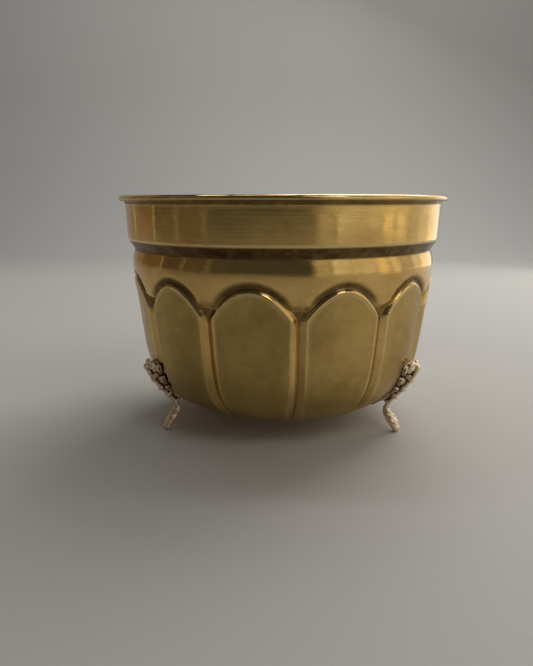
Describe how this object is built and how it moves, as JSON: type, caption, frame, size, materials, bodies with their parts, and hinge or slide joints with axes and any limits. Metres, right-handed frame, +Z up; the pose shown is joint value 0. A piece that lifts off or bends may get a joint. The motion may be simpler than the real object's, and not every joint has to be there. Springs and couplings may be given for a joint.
{
  "type": "planter pot",
  "caption": "Round open sheet-brass planter pot with a rolled rim, a plain collar and arched pressed panels, standing on cast feet; holds a potted plant.",
  "frame": {"origin": "on the floor under the middle of the pot, on the pot's axis", "axes": "+Z up along the pot's axis; -Y is the front; +X is to the right seen from the front"},
  "size_m": [0.21, 0.21, 0.1466],
  "materials": {
    "polished_brass": "spun and polished, lightly patinated, satin on the panels",
    "cast_brass": "rough cast, dark in the recesses, rubbed bright on the high points",
    "screw_brass": "turned, dulled",
    "rim_wire": "drawn wire, hidden in the rim"
  },
  "bodies": {
    "root": {"pot_shell": "polished_brass", "rim_wire": "rim_wire", "foot_front_left": "cast_brass", "screw_front_left_upper": "screw_brass", "washer_front_left_upper": "screw_brass", "screw_front_left_lower": "screw_brass", "washer_front_left_lower": "screw_brass", "foot_front_right": "cast_brass", "screw_front_right_upper": "screw_brass", "washer_front_right_upper": "screw_brass", "screw_front_right_lower": "screw_brass", "washer_front_right_lower": "screw_brass", "foot_back": "cast_brass", "screw_back_upper": "screw_brass", "washer_back_upper": "screw_brass", "screw_back_lower": "screw_brass", "washer_back_lower": "screw_brass"}
  },
  "joints": []
}
